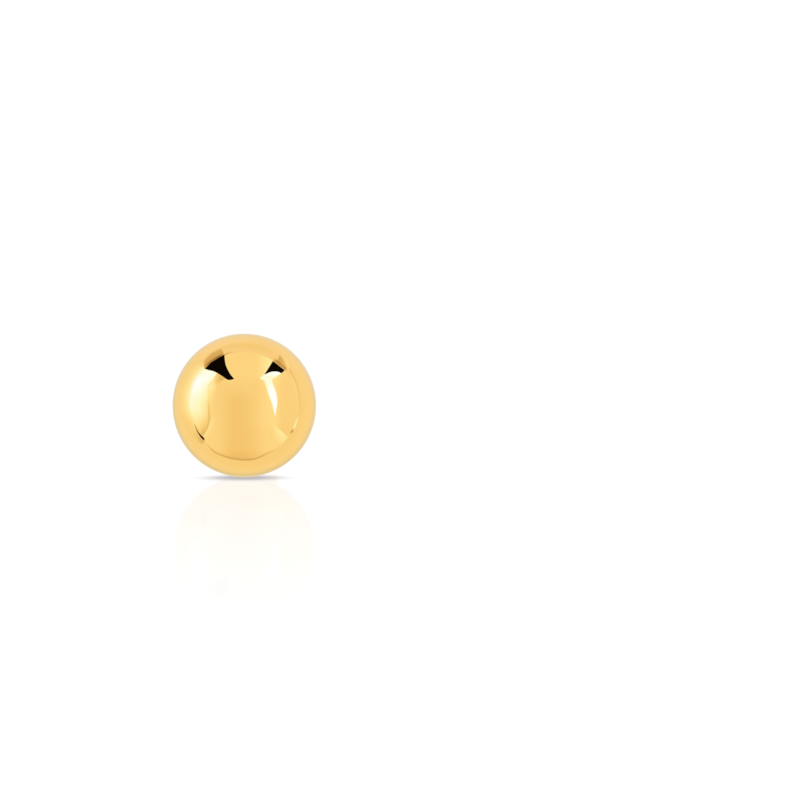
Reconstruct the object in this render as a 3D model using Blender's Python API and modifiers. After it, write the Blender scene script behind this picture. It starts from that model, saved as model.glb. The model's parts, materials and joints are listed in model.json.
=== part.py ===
"""A ball stud earring: a hollow gold ball on a straight post, with a butterfly back.

Metres, +Z up. The ball faces -Y and the post runs back from it, sloping down, because
the earring lies unworn: it rests on the ball and on the lower roll of its back.

The ball and the post are soldered into one piece. The back is a single strip of sheet,
bulged into a plate where the post goes through, with both ends rolled in to grip it.
Both are drawn along the post's own axis, +Z from the ball's centre towards the tip, and
hang on one empty, which lays that axis down.
"""

import math

import bmesh
import bpy

# Ball

BALL_DIAMETER = 0.0080
BALL_WALL = 0.00025
VENT_DIAMETER = 0.0005
VENT_TO_SOLDER = 0.0003

# Post

POST_DIAMETER = 0.00085
POST_LENGTH = 0.0110
SOLDER_FILLET = 0.0003
TIP_ROUNDING = 0.0002
NOTCH_FROM_TIP = 0.0022
NOTCH_LENGTH = 0.0007
NOTCH_DEPTH = 0.00008

# Butterfly back

LOBE_ROOM = 0.0055
SHEET = 0.0003
POST_CLEARANCE = 0.00006
STRIP_WIDTH = 0.0030
PLATE_WIDTH = 0.0046
ROLL_RADIUS = 0.0013
ROLL_GAP = 0.00012
ROLL_TURN = math.radians(405.0)
COLLAR_HEIGHT = 0.0002
COLLAR_WALL = 0.00012
ENTRY_DEPTH = 0.00012

# Colour of the polished yellow gold

GOLD_COLOR = (0.96, 0.62, 0.20, 1.0)
GOLD_ROUGHNESS = 0.08

# Fineness of the round shapes

BALL_SIDES = 48
HOLLOW_SIDES = 32
POST_SIDES = 24
HOLE_SIDES = 32
VENT_SIDES = 16
ARC_STEPS = 5
NOTCH_STEPS = 8
PLATE_STEPS = 14
ROLL_STEPS = 45

# How far a cutter reaches past what it cuts, and how close points merge

REACH = 0.0005
MERGE = 0.000001

# Derived sizes

BALL_RADIUS = BALL_DIAMETER / 2
POST_RADIUS = POST_DIAMETER / 2
TIP = BALL_RADIUS + POST_LENGTH
PLATE_FRONT = BALL_RADIUS + LOBE_ROOM
HOLE_RADIUS = POST_RADIUS + POST_CLEARANCE
ROLL_PITCH = SHEET + ROLL_GAP
ROLL_START = ROLL_RADIUS - SHEET / 2


def spiral_radius(angle):
    """Radius of the strip's middle line after it has rolled through this angle."""
    return ROLL_START - ROLL_PITCH * angle / math.tau


def roll_offset():
    """Distance from the post's axis to the centre of a roll that just clears the post."""
    beside_post = math.radians(270.0)
    return HOLE_RADIUS + SHEET / 2 + spiral_radius(beside_post)


def roll_point(angle, offset=0.0):
    """A point of one roll, as (distance from the post, height from the plate's front)."""
    radius = spiral_radius(angle) + offset
    across = roll_offset() + radius * math.sin(angle)
    along = SHEET / 2 + ROLL_START - radius * math.cos(angle)
    return across, along


def roll_angles():
    return [ROLL_TURN * step / ROLL_STEPS for step in range(ROLL_STEPS + 1)]


def strip_half():
    """Middle line of half the strip: out along the plate, then round the roll."""
    plate = [(roll_offset() * step / PLATE_STEPS, SHEET / 2) for step in range(PLATE_STEPS)]
    return plate + [roll_point(angle) for angle in roll_angles()]


def half_width(across, is_plate):
    """Half the strip's width, which swells round the hole to make the plate."""
    if not is_plate:
        return STRIP_WIDTH / 2
    swell = 0.5 + 0.5 * math.cos(math.pi * across / roll_offset())
    return (STRIP_WIDTH + (PLATE_WIDTH - STRIP_WIDTH) * swell) / 2


def tip_profile():
    """The rounded end of the post as (radius, height) points, from its flat middle out."""
    shoulder = POST_RADIUS - TIP_ROUNDING
    points = [(0.0, TIP)]
    for step in range(ARC_STEPS + 1):
        angle = math.pi / 2 * step / ARC_STEPS
        points.append((shoulder + TIP_ROUNDING * math.sin(angle),
                       TIP - TIP_ROUNDING * (1 - math.cos(angle))))
    return points


def notch_profile():
    """The shallow waist near the tip, where the rolls of the back settle."""
    start = TIP - NOTCH_FROM_TIP + NOTCH_LENGTH / 2
    points = []
    for step in range(NOTCH_STEPS + 1):
        share = step / NOTCH_STEPS
        depth = NOTCH_DEPTH * (0.5 - 0.5 * math.cos(math.tau * share))
        points.append((POST_RADIUS - depth, start - NOTCH_LENGTH * share))
    return points


def solder_profile():
    """The solder round the foot of the post, and the foot itself inside the ball's wall."""
    rim = POST_RADIUS + SOLDER_FILLET
    ball_surface = math.sqrt(BALL_RADIUS ** 2 - rim ** 2)
    inside_wall = math.sqrt((BALL_RADIUS - BALL_WALL / 2) ** 2 - rim ** 2)
    points = []
    for step in range(ARC_STEPS + 1):
        angle = math.pi / 2 * step / ARC_STEPS
        points.append((rim - SOLDER_FILLET * math.cos(angle),
                       ball_surface + SOLDER_FILLET * (1 - math.sin(angle))))
    return points + [(rim, inside_wall), (0.0, inside_wall)]


def resting_tilt():
    """How far the post slopes down when a roll of the back first touches the floor.

    The axis turns about the ball's centre, one ball radius above the floor, so each
    point of the back touches at its own slope, and the smallest one stops the rest.
    """
    slopes = []
    for angle in roll_angles():
        across, along = roll_point(angle, SHEET / 2)
        height = PLATE_FRONT + along
        slopes.append(math.asin(BALL_RADIUS / math.hypot(across, height))
                      - math.atan2(across, height))
    return min(slopes)


def tip_reach(tilt):
    """How far behind the ball's centre the tip of the sloping post reaches."""
    return max(height * math.cos(tilt) + radius * math.sin(tilt)
               for radius, height in tip_profile())


def clear_scene():
    for old in list(bpy.data.objects):
        bpy.data.objects.remove(old, do_unlink=True)


def new_collection(name):
    collection = bpy.data.collections.new(name)
    bpy.context.scene.collection.children.link(collection)
    return collection


def polished_gold():
    material = bpy.data.materials.new("polished_gold")
    material.use_nodes = True
    shader = material.node_tree.nodes["Principled BSDF"]
    shader.inputs["Base Color"].default_value = GOLD_COLOR
    shader.inputs["Metallic"].default_value = 1.0
    shader.inputs["Roughness"].default_value = GOLD_ROUGHNESS
    return material


def add_object(name, bm, collection, axis):
    """Turn a bmesh into a smooth-shaded object that hangs on the post's axis."""
    mesh = bpy.data.meshes.new(name)
    bm.to_mesh(mesh)
    bm.free()
    mesh.shade_smooth()
    made = bpy.data.objects.new(name, mesh)
    made.parent = axis
    collection.objects.link(made)
    return made


def add_tool(name, bm, cutters, axis):
    """An object that only cuts another one or is joined to it."""
    tool = add_object(name, bm, cutters, axis)
    tool.hide_render = True
    tool.display_type = "WIRE"
    return tool


def sphere_mesh(radius, sides):
    bm = bmesh.new()
    bmesh.ops.create_uvsphere(bm, u_segments=sides, v_segments=sides // 2, radius=radius)
    return bm


def cone_mesh(bottom_radius, top_radius, bottom, top, sides):
    """A cylinder or cone on the Z axis, from one height to another."""
    bm = bmesh.new()
    bmesh.ops.create_cone(bm, cap_ends=True, segments=sides, radius1=bottom_radius,
                          radius2=top_radius, depth=top - bottom)
    bmesh.ops.translate(bm, verts=bm.verts, vec=(0.0, 0.0, (bottom + top) / 2))
    return bm


def profile_mesh(points):
    """A chain of edges through (radius, height) points, at +X."""
    bm = bmesh.new()
    verts = [bm.verts.new((radius, 0.0, height)) for radius, height in points]
    for upper, lower in zip(verts, verts[1:]):
        bm.edges.new((upper, lower))
    return bm


def turn(made, sides):
    """Turn a profile round the Z axis into a closed solid."""
    screw = made.modifiers.new("turn", "SCREW")
    screw.axis = "Z"
    screw.angle = math.tau
    screw.steps = sides
    screw.render_steps = sides
    screw.use_merge_vertices = True
    screw.merge_threshold = MERGE
    screw.use_smooth_shade = True


def boolean(made, tool, operation):
    step = made.modifiers.new(tool.name, "BOOLEAN")
    step.operation = operation
    step.solver = "EXACT"
    step.object = tool


def make_ball_and_post(parts, cutters, axis, gold):
    """The hollow ball with the post soldered to its back, and a vent hole beside it."""
    ball = add_object("ball_and_post", sphere_mesh(BALL_RADIUS, BALL_SIDES), parts, axis)
    ball.data.materials.append(gold)

    hollow = add_tool("ball_hollow", sphere_mesh(BALL_RADIUS - BALL_WALL, HOLLOW_SIDES),
                      cutters, axis)
    boolean(ball, hollow, "DIFFERENCE")

    outline = tip_profile() + notch_profile() + solder_profile()
    post = add_tool("post_blank", profile_mesh(outline), cutters, axis)
    turn(post, POST_SIDES)
    boolean(ball, post, "UNION")

    vent_radius = VENT_DIAMETER / 2
    vent_offset = POST_RADIUS + SOLDER_FILLET + VENT_TO_SOLDER + vent_radius
    vent_top = BALL_RADIUS + REACH
    vent_bottom = BALL_RADIUS - BALL_WALL - 2 * REACH
    vent = add_tool("vent_drill",
                    cone_mesh(vent_radius, vent_radius, vent_bottom, vent_top, VENT_SIDES),
                    cutters, axis)
    vent.location.y = vent_offset
    boolean(ball, vent, "DIFFERENCE")
    return ball


def strip_mesh():
    """The middle surface of half the strip, open on the plane through the post."""
    bm = bmesh.new()
    path = strip_half()
    near = [bm.verts.new((-half_width(across, step < PLATE_STEPS), across, along))
            for step, (across, along) in enumerate(path)]
    edges = [bm.edges.new(pair) for pair in zip(near, near[1:])]
    swept = bmesh.ops.extrude_edge_only(bm, edges=edges)
    for vert in swept["geom"]:
        if isinstance(vert, bmesh.types.BMVert):
            vert.co.x = -vert.co.x
    return bm


def make_butterfly_back(parts, cutters, axis, gold):
    """The strip with its two rolls, pierced and collared for the post."""
    back = add_object("butterfly_back", strip_mesh(), parts, axis)
    back.data.materials.append(gold)
    back.location.z = PLATE_FRONT

    halves = back.modifiers.new("other_half", "MIRROR")
    halves.use_axis = (False, True, False)
    halves.merge_threshold = MERGE

    sheet = back.modifiers.new("sheet", "SOLIDIFY")
    sheet.thickness = SHEET
    sheet.offset = 0.0
    sheet.use_even_offset = True

    collar_top = SHEET + COLLAR_HEIGHT
    collar_radius = HOLE_RADIUS + COLLAR_WALL
    collar = add_tool("collar_blank",
                      cone_mesh(collar_radius + COLLAR_HEIGHT, collar_radius, SHEET / 2,
                                collar_top, HOLE_SIDES),
                      cutters, axis)
    collar.location.z = PLATE_FRONT
    boolean(back, collar, "UNION")

    hole = add_tool("post_hole",
                    cone_mesh(HOLE_RADIUS, HOLE_RADIUS, -REACH, collar_top + ROLL_GAP,
                              HOLE_SIDES),
                    cutters, axis)
    hole.location.z = PLATE_FRONT
    boolean(back, hole, "DIFFERENCE")

    entry = add_tool("hole_entry",
                     cone_mesh(HOLE_RADIUS + ENTRY_DEPTH + REACH, HOLE_RADIUS, -REACH,
                               ENTRY_DEPTH, HOLE_SIDES),
                     cutters, axis)
    entry.location.z = PLATE_FRONT
    boolean(back, entry, "DIFFERENCE")
    return back


def main():
    clear_scene()
    parts = new_collection("ball_stud_earring")
    cutters = new_collection("cutters")
    gold = polished_gold()

    tilt = resting_tilt()
    axis = bpy.data.objects.new("post_axis", None)
    parts.objects.link(axis)
    axis.location = (0.0, (BALL_RADIUS - tip_reach(tilt)) / 2, BALL_RADIUS)
    axis.rotation_euler.x = -math.pi / 2 - tilt

    make_ball_and_post(parts, cutters, axis, gold)
    make_butterfly_back(parts, cutters, axis, gold)


main()
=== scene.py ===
"""Looks of a ball stud earring: a mirror-polished gold ball on a post, with its butterfly back.

Everything is in metres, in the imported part's own frame. The two pieces are modelled along
the post's axis, Z from the ball's centre to the tip, and then laid down as the earring
rests: on the ball and on the lower roll of its back.

A mirror ball shows little but its surroundings, so most of its look is the studio: a pale
light tent with softboxes, strips and dark gaps, which only reflections see.
"""

import json
import math

import bmesh
import bpy
from mathutils import Matrix, Vector


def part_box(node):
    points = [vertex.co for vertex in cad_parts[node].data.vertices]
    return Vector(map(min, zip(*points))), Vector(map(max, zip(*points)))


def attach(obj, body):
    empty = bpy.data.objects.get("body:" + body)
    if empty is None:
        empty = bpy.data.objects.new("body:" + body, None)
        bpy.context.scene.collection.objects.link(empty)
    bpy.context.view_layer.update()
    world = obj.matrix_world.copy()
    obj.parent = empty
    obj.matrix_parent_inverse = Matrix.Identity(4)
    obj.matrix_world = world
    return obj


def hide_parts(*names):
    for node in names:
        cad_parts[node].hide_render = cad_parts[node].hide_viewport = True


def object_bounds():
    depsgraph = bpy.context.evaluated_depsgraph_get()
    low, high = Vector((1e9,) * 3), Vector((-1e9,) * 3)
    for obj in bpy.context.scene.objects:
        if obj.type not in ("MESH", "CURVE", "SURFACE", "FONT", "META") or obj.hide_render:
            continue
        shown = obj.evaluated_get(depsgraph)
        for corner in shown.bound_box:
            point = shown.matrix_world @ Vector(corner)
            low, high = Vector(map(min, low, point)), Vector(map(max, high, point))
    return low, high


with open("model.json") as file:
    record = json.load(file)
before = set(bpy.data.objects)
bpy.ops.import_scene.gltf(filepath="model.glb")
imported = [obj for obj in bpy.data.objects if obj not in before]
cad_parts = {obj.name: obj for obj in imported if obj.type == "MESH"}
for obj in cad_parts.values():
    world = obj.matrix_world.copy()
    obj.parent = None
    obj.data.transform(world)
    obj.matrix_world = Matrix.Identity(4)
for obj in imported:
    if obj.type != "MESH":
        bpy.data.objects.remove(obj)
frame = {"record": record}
cad_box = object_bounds()

MM = 0.001

# Ball and post

BALL_LOW, BALL_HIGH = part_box("ball_and_post")
BALL_RADIUS = (BALL_HIGH.x - BALL_LOW.x) / 2
BALL_CENTRE = Vector((0.0, BALL_LOW.y + BALL_RADIUS, BALL_LOW.z + BALL_RADIUS))
BALL_WALL = 0.25 * MM
BALL_FINENESS = 7
HOLLOW_FINENESS = 5
POST_RADIUS = 0.425 * MM
POST_LENGTH = 11.0 * MM
SOLDER_FILLET = 0.3 * MM
VENT_RADIUS = 0.25 * MM
VENT_TO_SOLDER = 0.3 * MM
VENT_EDGE = 0.02 * MM
VENT_BEND_OUT = 0.008 * MM
VENT_BEND_DOWN = 0.012 * MM
VENT_BEND_END = 0.04 * MM
VENT_DEPTH = 0.175 * MM
TIP_ROUNDING = 0.2 * MM
NOTCH_FROM_TIP = 2.2 * MM
NOTCH_LENGTH = 0.7 * MM
NOTCH_DEPTH = 0.08 * MM
SHAFT_STEP = 0.8 * MM
ARC_STEPS = 6
NOTCH_STEPS = 10

# Butterfly back

SHEET = 0.3 * MM
HOLE_RADIUS = 0.485 * MM
STRIP_HALF = 1.5 * MM
PLATE_HALF = 2.3 * MM
EDGE_ROUNDING = 0.07 * MM
ROLL_START = 1.149 * MM
ROLL_PITCH = 0.42 * MM
ROLL_TURN = math.radians(405.0)
ROLL_NEAREST = math.radians(270.0)
COLLAR_TOP = 0.5 * MM
COLLAR_WALL = 0.12 * MM
COLLAR_FILLET = 0.184 * MM
COLLAR_ROUNDING = 0.035 * MM
ENTRY_DEPTH = 0.12 * MM
ENTRY_LIP = 0.014 * MM
HOLE_OPENING = 0.85 * MM
PLATE_STEPS = 14
ROLL_STEPS = 90
ACROSS_STEPS = 36
CORNER_STEPS = 4
ROUNDING_STEPS = 3

# Points closer than MERGE are one, and a bend sharper than SHARP_ANGLE is shaded as an edge

MERGE = 0.0005 * MM
SHARP_ANGLE = math.radians(32.0)


def recorded_mount(name):
    """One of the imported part's mounts."""
    return next(mount for mount in frame["record"]["mounts"] if mount["name"] == name)


POST_DIRECTION = Vector(recorded_mount("post_tip")["axis"]).normalized()
PLATE_POINT = Vector(recorded_mount("lobe_face")["pos_m"])
PLATE_FRONT = (PLATE_POINT - BALL_CENTRE).dot(POST_DIRECTION)
TIP = BALL_RADIUS + POST_LENGTH


def lying_down():
    """The transform from the post's own axes to the way the earring rests."""
    right = Vector((1.0, 0.0, 0.0))
    down = POST_DIRECTION.cross(right)
    turn = Matrix((right, down, POST_DIRECTION)).transposed().to_4x4()
    return Matrix.Translation(BALL_CENTRE) @ turn


def mesh_object(name, bm, material):
    """Make an object of the scene from a bmesh, at the origin."""
    mesh = bpy.data.meshes.new(name)
    bm.to_mesh(mesh)
    bm.free()
    mesh.materials.append(material)
    made = bpy.data.objects.new(name, mesh)
    bpy.context.scene.collection.objects.link(made)
    return made


def finish_piece(name, bm, node, material):
    """Lay a closed mesh down and make it the piece that stands for a CAD node."""
    bmesh.ops.remove_doubles(bm, verts=bm.verts, dist=MERGE)
    bmesh.ops.transform(bm, matrix=lying_down(), verts=bm.verts)
    piece = mesh_object(name, bm, material)
    piece.data.shade_smooth()
    piece.data.set_sharp_from_angle(angle=SHARP_ANGLE)
    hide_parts(node)
    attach(piece, "root")


# Round holes and what is drawn out of them


def open_round_hole(bm, middle, radius, on_side, height_at):
    """Open an even round hole in one side of a surface and return the edges of its ring."""
    inside = [v for v in bm.verts if on_side(v.co) and (v.co.xy - middle).length < radius]
    ring = {v for inner in inside for edge in inner.link_edges for v in edge.verts}
    ring |= {v for inner in inside for face in inner.link_faces for v in face.verts}
    ring -= set(inside)
    bmesh.ops.delete(bm, geom=inside, context="VERTS")
    ring = sorted(ring, key=lambda v: math.atan2(v.co.y - middle.y, v.co.x - middle.x))
    angles = [math.atan2(v.co.y - middle.y, v.co.x - middle.x) for v in ring]
    step = math.tau / len(ring)
    start = sum(angle - step * place for place, angle in enumerate(angles)) / len(ring)
    for place, vert in enumerate(ring):
        angle = start + step * place
        x = middle.x + radius * math.cos(angle)
        y = middle.y + radius * math.sin(angle)
        vert.co = (x, y, height_at(x, y))
    members = set(ring)
    return [e for e in bm.edges if e.is_boundary and set(e.verts) <= members]


def drawn_on(bm, edges):
    """Extrude edges and return the new points and the new edges."""
    drawn = bmesh.ops.extrude_edge_only(bm, edges=edges)["geom"]
    fresh_verts = [g for g in drawn if isinstance(g, bmesh.types.BMVert)]
    fresh_edges = [g for g in drawn if isinstance(g, bmesh.types.BMEdge)]
    return fresh_verts, fresh_edges


def draw_ring(bm, ring, middle, profile):
    """Draw a ring of edges on through (radius, height) points and return its last ring."""
    for radius, height in profile:
        fresh, ring = drawn_on(bm, ring)
        for vert in fresh:
            outward = (vert.co.xy - middle).normalized() * radius
            vert.co = (middle.x + outward.x, middle.y + outward.y, height)
    return ring


def quarter_arc(steps):
    """The shares of a quarter turn, as (sine, cosine) pairs, without its start."""
    turns = [math.pi / 2 * step / steps for step in range(1, steps + 1)]
    return [(math.sin(turn), math.cos(turn)) for turn in turns]


# The ball on its post


def sphere_height(radius):
    """How high the upper half of a sphere stands over a point of its middle plane."""
    return lambda x, y: math.sqrt(radius ** 2 - x ** 2 - y ** 2)


def post_profile():
    """The solder fillet, the shaft with its notch and the rounded tip."""
    rim = POST_RADIUS + SOLDER_FILLET
    foot = sphere_height(BALL_RADIUS)(rim, 0.0)
    points = [(rim - SOLDER_FILLET * sine, foot + SOLDER_FILLET * (1 - cosine))
              for sine, cosine in quarter_arc(ARC_STEPS)]
    notch_start = TIP - NOTCH_FROM_TIP - NOTCH_LENGTH / 2
    shaft_start = foot + SOLDER_FILLET
    shaft_steps = round((notch_start - shaft_start) / SHAFT_STEP)
    for step in range(1, shaft_steps):
        share = step / shaft_steps
        points.append((POST_RADIUS, shaft_start + (notch_start - shaft_start) * share))
    for step in range(NOTCH_STEPS + 1):
        share = step / NOTCH_STEPS
        depth = NOTCH_DEPTH * (0.5 - 0.5 * math.cos(math.tau * share))
        points.append((POST_RADIUS - depth, notch_start + NOTCH_LENGTH * share))
    shoulder = TIP - TIP_ROUNDING
    points.append((POST_RADIUS, shoulder))
    points += [(POST_RADIUS - TIP_ROUNDING * (1 - cosine), shoulder + TIP_ROUNDING * sine)
               for sine, cosine in quarter_arc(ARC_STEPS)]
    return points


def vent_profile(surface):
    """The vent's softened edge and its wall, down from the ball's surface."""
    return [(VENT_RADIUS + VENT_BEND_OUT, surface - VENT_BEND_DOWN),
            (VENT_RADIUS, surface - VENT_BEND_END),
            (VENT_RADIUS, surface - VENT_DEPTH)]


def make_ball_on_post(material):
    """The hollow ball, the vent in its back and the post drawn out of its solder."""
    bm = bmesh.new()
    bmesh.ops.create_icosphere(bm, subdivisions=BALL_FINENESS, radius=BALL_RADIUS)
    on_axis = Vector((0.0, 0.0))
    vent_offset = POST_RADIUS + SOLDER_FILLET + VENT_TO_SOLDER + VENT_RADIUS
    vent_middle = Vector((0.0, vent_offset))

    def on_back(point):
        return point.z > 0.0

    outer = sphere_height(BALL_RADIUS)
    foot_ring = open_round_hole(bm, on_axis, POST_RADIUS + SOLDER_FILLET, on_back, outer)
    tip_ring = draw_ring(bm, foot_ring, on_axis, post_profile())
    bmesh.ops.edgeloop_fill(bm, edges=tip_ring)

    vent_ring = open_round_hole(bm, vent_middle, VENT_RADIUS + VENT_EDGE, on_back, outer)
    draw_ring(bm, vent_ring, vent_middle, vent_profile(outer(0.0, vent_offset)))

    shell = bmesh.new()
    bmesh.ops.create_icosphere(shell, subdivisions=HOLLOW_FINENESS,
                               radius=BALL_RADIUS - BALL_WALL)
    open_round_hole(shell, vent_middle, VENT_RADIUS, on_back,
                    sphere_height(BALL_RADIUS - BALL_WALL))
    bmesh.ops.reverse_faces(shell, faces=shell.faces)
    inner_mesh = bpy.data.meshes.new("hollow")
    shell.to_mesh(inner_mesh)
    shell.free()
    bm.from_mesh(inner_mesh)
    bpy.data.meshes.remove(inner_mesh)
    open_edges = [e for e in bm.edges if e.is_boundary]
    bmesh.ops.bridge_loops(bm, edges=open_edges)
    bmesh.ops.recalc_face_normals(bm, faces=bm.faces)
    finish_piece("ball_on_post", bm, "ball_and_post", material)


# The butterfly back


def spiral_radius(angle):
    """How far the rolled strip's middle is from its roll's centre, after so much turn."""
    return ROLL_START - ROLL_PITCH * angle / math.tau


def roll_offset():
    """Distance from the post's axis to a roll's centre, so that the roll just clears it."""
    return HOLE_RADIUS + SHEET / 2 + spiral_radius(ROLL_NEAREST)


def strip_stations():
    """Where the strip's section goes: across, along, lean, and half its width."""
    stations = []
    for step in range(PLATE_STEPS):
        across = roll_offset() * step / PLATE_STEPS
        swell = 0.5 + 0.5 * math.cos(math.pi * across / roll_offset())
        half = STRIP_HALF + (PLATE_HALF - STRIP_HALF) * swell
        stations.append((across, SHEET / 2, 0.0, half))
    for step in range(ROLL_STEPS + 1):
        angle = ROLL_TURN * step / ROLL_STEPS
        radius = spiral_radius(angle)
        across = roll_offset() + radius * math.sin(angle)
        along = SHEET / 2 + ROLL_START - radius * math.cos(angle)
        stations.append((across, along, angle, STRIP_HALF))
    return stations


def widened(side, half):
    """A place across the narrow section, moved out for a wider one with the same edges."""
    flat = STRIP_HALF - EDGE_ROUNDING
    if abs(side) <= flat:
        return side * (half - EDGE_ROUNDING) / flat
    return math.copysign(abs(side) + half - STRIP_HALF, side)


def place_section(verts, station, layers, shrink=0.0, onward=0.0):
    """Put the strip's section at a station; shrink and onward round its last end off."""
    across, along, lean, half = station
    for vert in verts:
        side = widened(vert[layers[0]], half) * (1 - shrink / half)
        depth = vert[layers[1]] * (1 - 2 * shrink / SHEET)
        vert.co = (side,
                   across - depth * math.sin(lean) + onward * math.cos(lean),
                   along + depth * math.cos(lean) + onward * math.sin(lean))


def strip_section(bm):
    """One rounded section of the strip as a closed loop, its places kept in two layers."""
    bmesh.ops.create_grid(bm, x_segments=1, y_segments=1, size=1.0)
    bmesh.ops.scale(bm, vec=(STRIP_HALF, SHEET / 2, 1.0), verts=bm.verts)
    bmesh.ops.bevel(bm, geom=bm.verts[:], offset=EDGE_ROUNDING, affect="VERTICES",
                    segments=CORNER_STEPS, profile=0.5, material=-1)
    bmesh.ops.delete(bm, geom=bm.faces[:], context="FACES_ONLY")
    flats = [e for e in bm.edges if e.calc_length() > STRIP_HALF]
    bmesh.ops.subdivide_edges(bm, edges=flats, cuts=ACROSS_STEPS - 1)
    layers = (bm.verts.layers.float.new("side"), bm.verts.layers.float.new("depth"))
    for vert in bm.verts:
        vert[layers[0]] = vert.co.x
        vert[layers[1]] = vert.co.y
    return layers


def collar_profile():
    """The way into the hole, the bore and the drawn collar round it."""
    wall = HOLE_RADIUS + COLLAR_WALL
    rounding = COLLAR_ROUNDING
    points = [(HOLE_RADIUS + ENTRY_DEPTH + rounding, 0.0),
              (HOLE_RADIUS + ENTRY_DEPTH, ENTRY_LIP),
              (HOLE_RADIUS, ENTRY_DEPTH),
              (HOLE_RADIUS, SHEET),
              (HOLE_RADIUS, COLLAR_TOP - rounding)]
    points += [(HOLE_RADIUS + rounding * (1 - cosine), COLLAR_TOP - rounding * (1 - sine))
               for sine, cosine in quarter_arc(ROUNDING_STEPS)]
    points.append((wall - rounding, COLLAR_TOP))
    points += [(wall - rounding * (1 - sine), COLLAR_TOP - rounding * (1 - cosine))
               for sine, cosine in quarter_arc(ROUNDING_STEPS)]
    points += [(wall + COLLAR_FILLET * (1 - cosine),
                SHEET + (COLLAR_TOP - rounding - SHEET) * (1 - sine))
               for sine, cosine in quarter_arc(ARC_STEPS)]
    return points


def make_butterfly_back(material):
    """One strip of sheet: a pierced and collared plate with both ends rolled in."""
    bm = bmesh.new()
    layers = strip_section(bm)
    stations = strip_stations()
    loop = bm.edges[:]
    place_section(bm.verts[:], stations[0], layers)
    for station in stations[1:]:
        fresh, loop = drawn_on(bm, loop)
        place_section(fresh, station, layers)
    for sine, cosine in quarter_arc(ROUNDING_STEPS):
        fresh, loop = drawn_on(bm, loop)
        place_section(fresh, stations[-1], layers, shrink=EDGE_ROUNDING * (1 - cosine),
                      onward=EDGE_ROUNDING * sine)
    bmesh.ops.edgeloop_fill(bm, edges=loop)
    bmesh.ops.mirror(bm, geom=bm.verts[:] + bm.edges[:] + bm.faces[:], axis="Y",
                     merge_dist=MERGE)
    bmesh.ops.remove_doubles(bm, verts=bm.verts, dist=MERGE)

    on_axis = Vector((0.0, 0.0))

    def on_front(point):
        return abs(point.z) < MERGE and abs(point.y) < ROLL_START

    def on_rear(point):
        return abs(point.z - SHEET) < MERGE and abs(point.y) < ROLL_START

    front = open_round_hole(bm, on_axis, HOLE_OPENING, on_front, lambda x, y: 0.0)
    rear = open_round_hole(bm, on_axis, HOLE_OPENING, on_rear, lambda x, y: SHEET)
    last = draw_ring(bm, front, on_axis, collar_profile())
    bmesh.ops.bridge_loops(bm, edges=last + rear)
    bmesh.ops.recalc_face_normals(bm, faces=bm.faces)
    bmesh.ops.translate(bm, vec=(0.0, 0.0, PLATE_FRONT), verts=bm.verts)
    finish_piece("butterfly_clutch", bm, "butterfly_back", material)


# The gold

WHOLE = (0.0, 1.0)
WHITE = (1.0, 1.0, 1.0, 1.0)
GOLD = (0.96, 0.62, 0.20, 1.0)
GOLD_DEEPER = (0.95, 0.60, 0.185, 1.0)
GOLD_AT_GRAZING = (0.85, 0.85, 0.77, 1.0)
CLOUD_SCALE = 420.0
CLOUD_DETAIL = 3.0
CLOUD_TINT_SPAN = (0.35, 0.65)
CLOUD_HAZE_SPAN = (0.3, 0.7)
SCRATCH_SCALE = 900.0
SCRATCH_DETAIL = 4.0
SCRATCH_STRETCH = (1.0, 1.0, 22.0)
SCRATCH_SPAN = (0.60, 0.72)
SCRATCH_TURNS = ((0.4, 0.9, 0.2), (1.9, 0.3, 1.1), (0.8, 2.2, 2.6))


def node_of(tree, kind, **settings):
    """A shader node of a kind, with its own settings made."""
    node = tree.nodes.new("ShaderNode" + kind)
    for key, value in settings.items():
        setattr(node, key, value)
    return node


def noise(tree, where, scale, detail, stretch=(1.0, 1.0, 1.0), turn=(0.0, 0.0, 0.0)):
    """Noise on the piece's own coordinates, stretched and turned by a Mapping node."""
    mapping = node_of(tree, "Mapping")
    mapping.inputs["Scale"].default_value = stretch
    mapping.inputs["Rotation"].default_value = turn
    tree.links.new(where, mapping.inputs["Vector"])
    grain = node_of(tree, "TexNoise")
    grain.inputs["Scale"].default_value = scale
    grain.inputs["Detail"].default_value = detail
    tree.links.new(mapping.outputs["Vector"], grain.inputs["Vector"])
    return grain.outputs["Fac"]


def ranged(tree, value, span, to_span, way="LINEAR"):
    """A value brought from one span to another, and held inside it."""
    node = node_of(tree, "MapRange", interpolation_type=way)
    node.inputs["From Min"].default_value = span[0]
    node.inputs["From Max"].default_value = span[1]
    node.inputs["To Min"].default_value = to_span[0]
    node.inputs["To Max"].default_value = to_span[1]
    tree.links.new(value, node.inputs["Value"])
    return node.outputs["Result"]


def combined(tree, first, second, operation):
    """Two values made one by a Math node's operation."""
    node = node_of(tree, "Math", operation=operation)
    tree.links.new(first, node.inputs[0])
    tree.links.new(second, node.inputs[1])
    return node.outputs["Value"]


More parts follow.
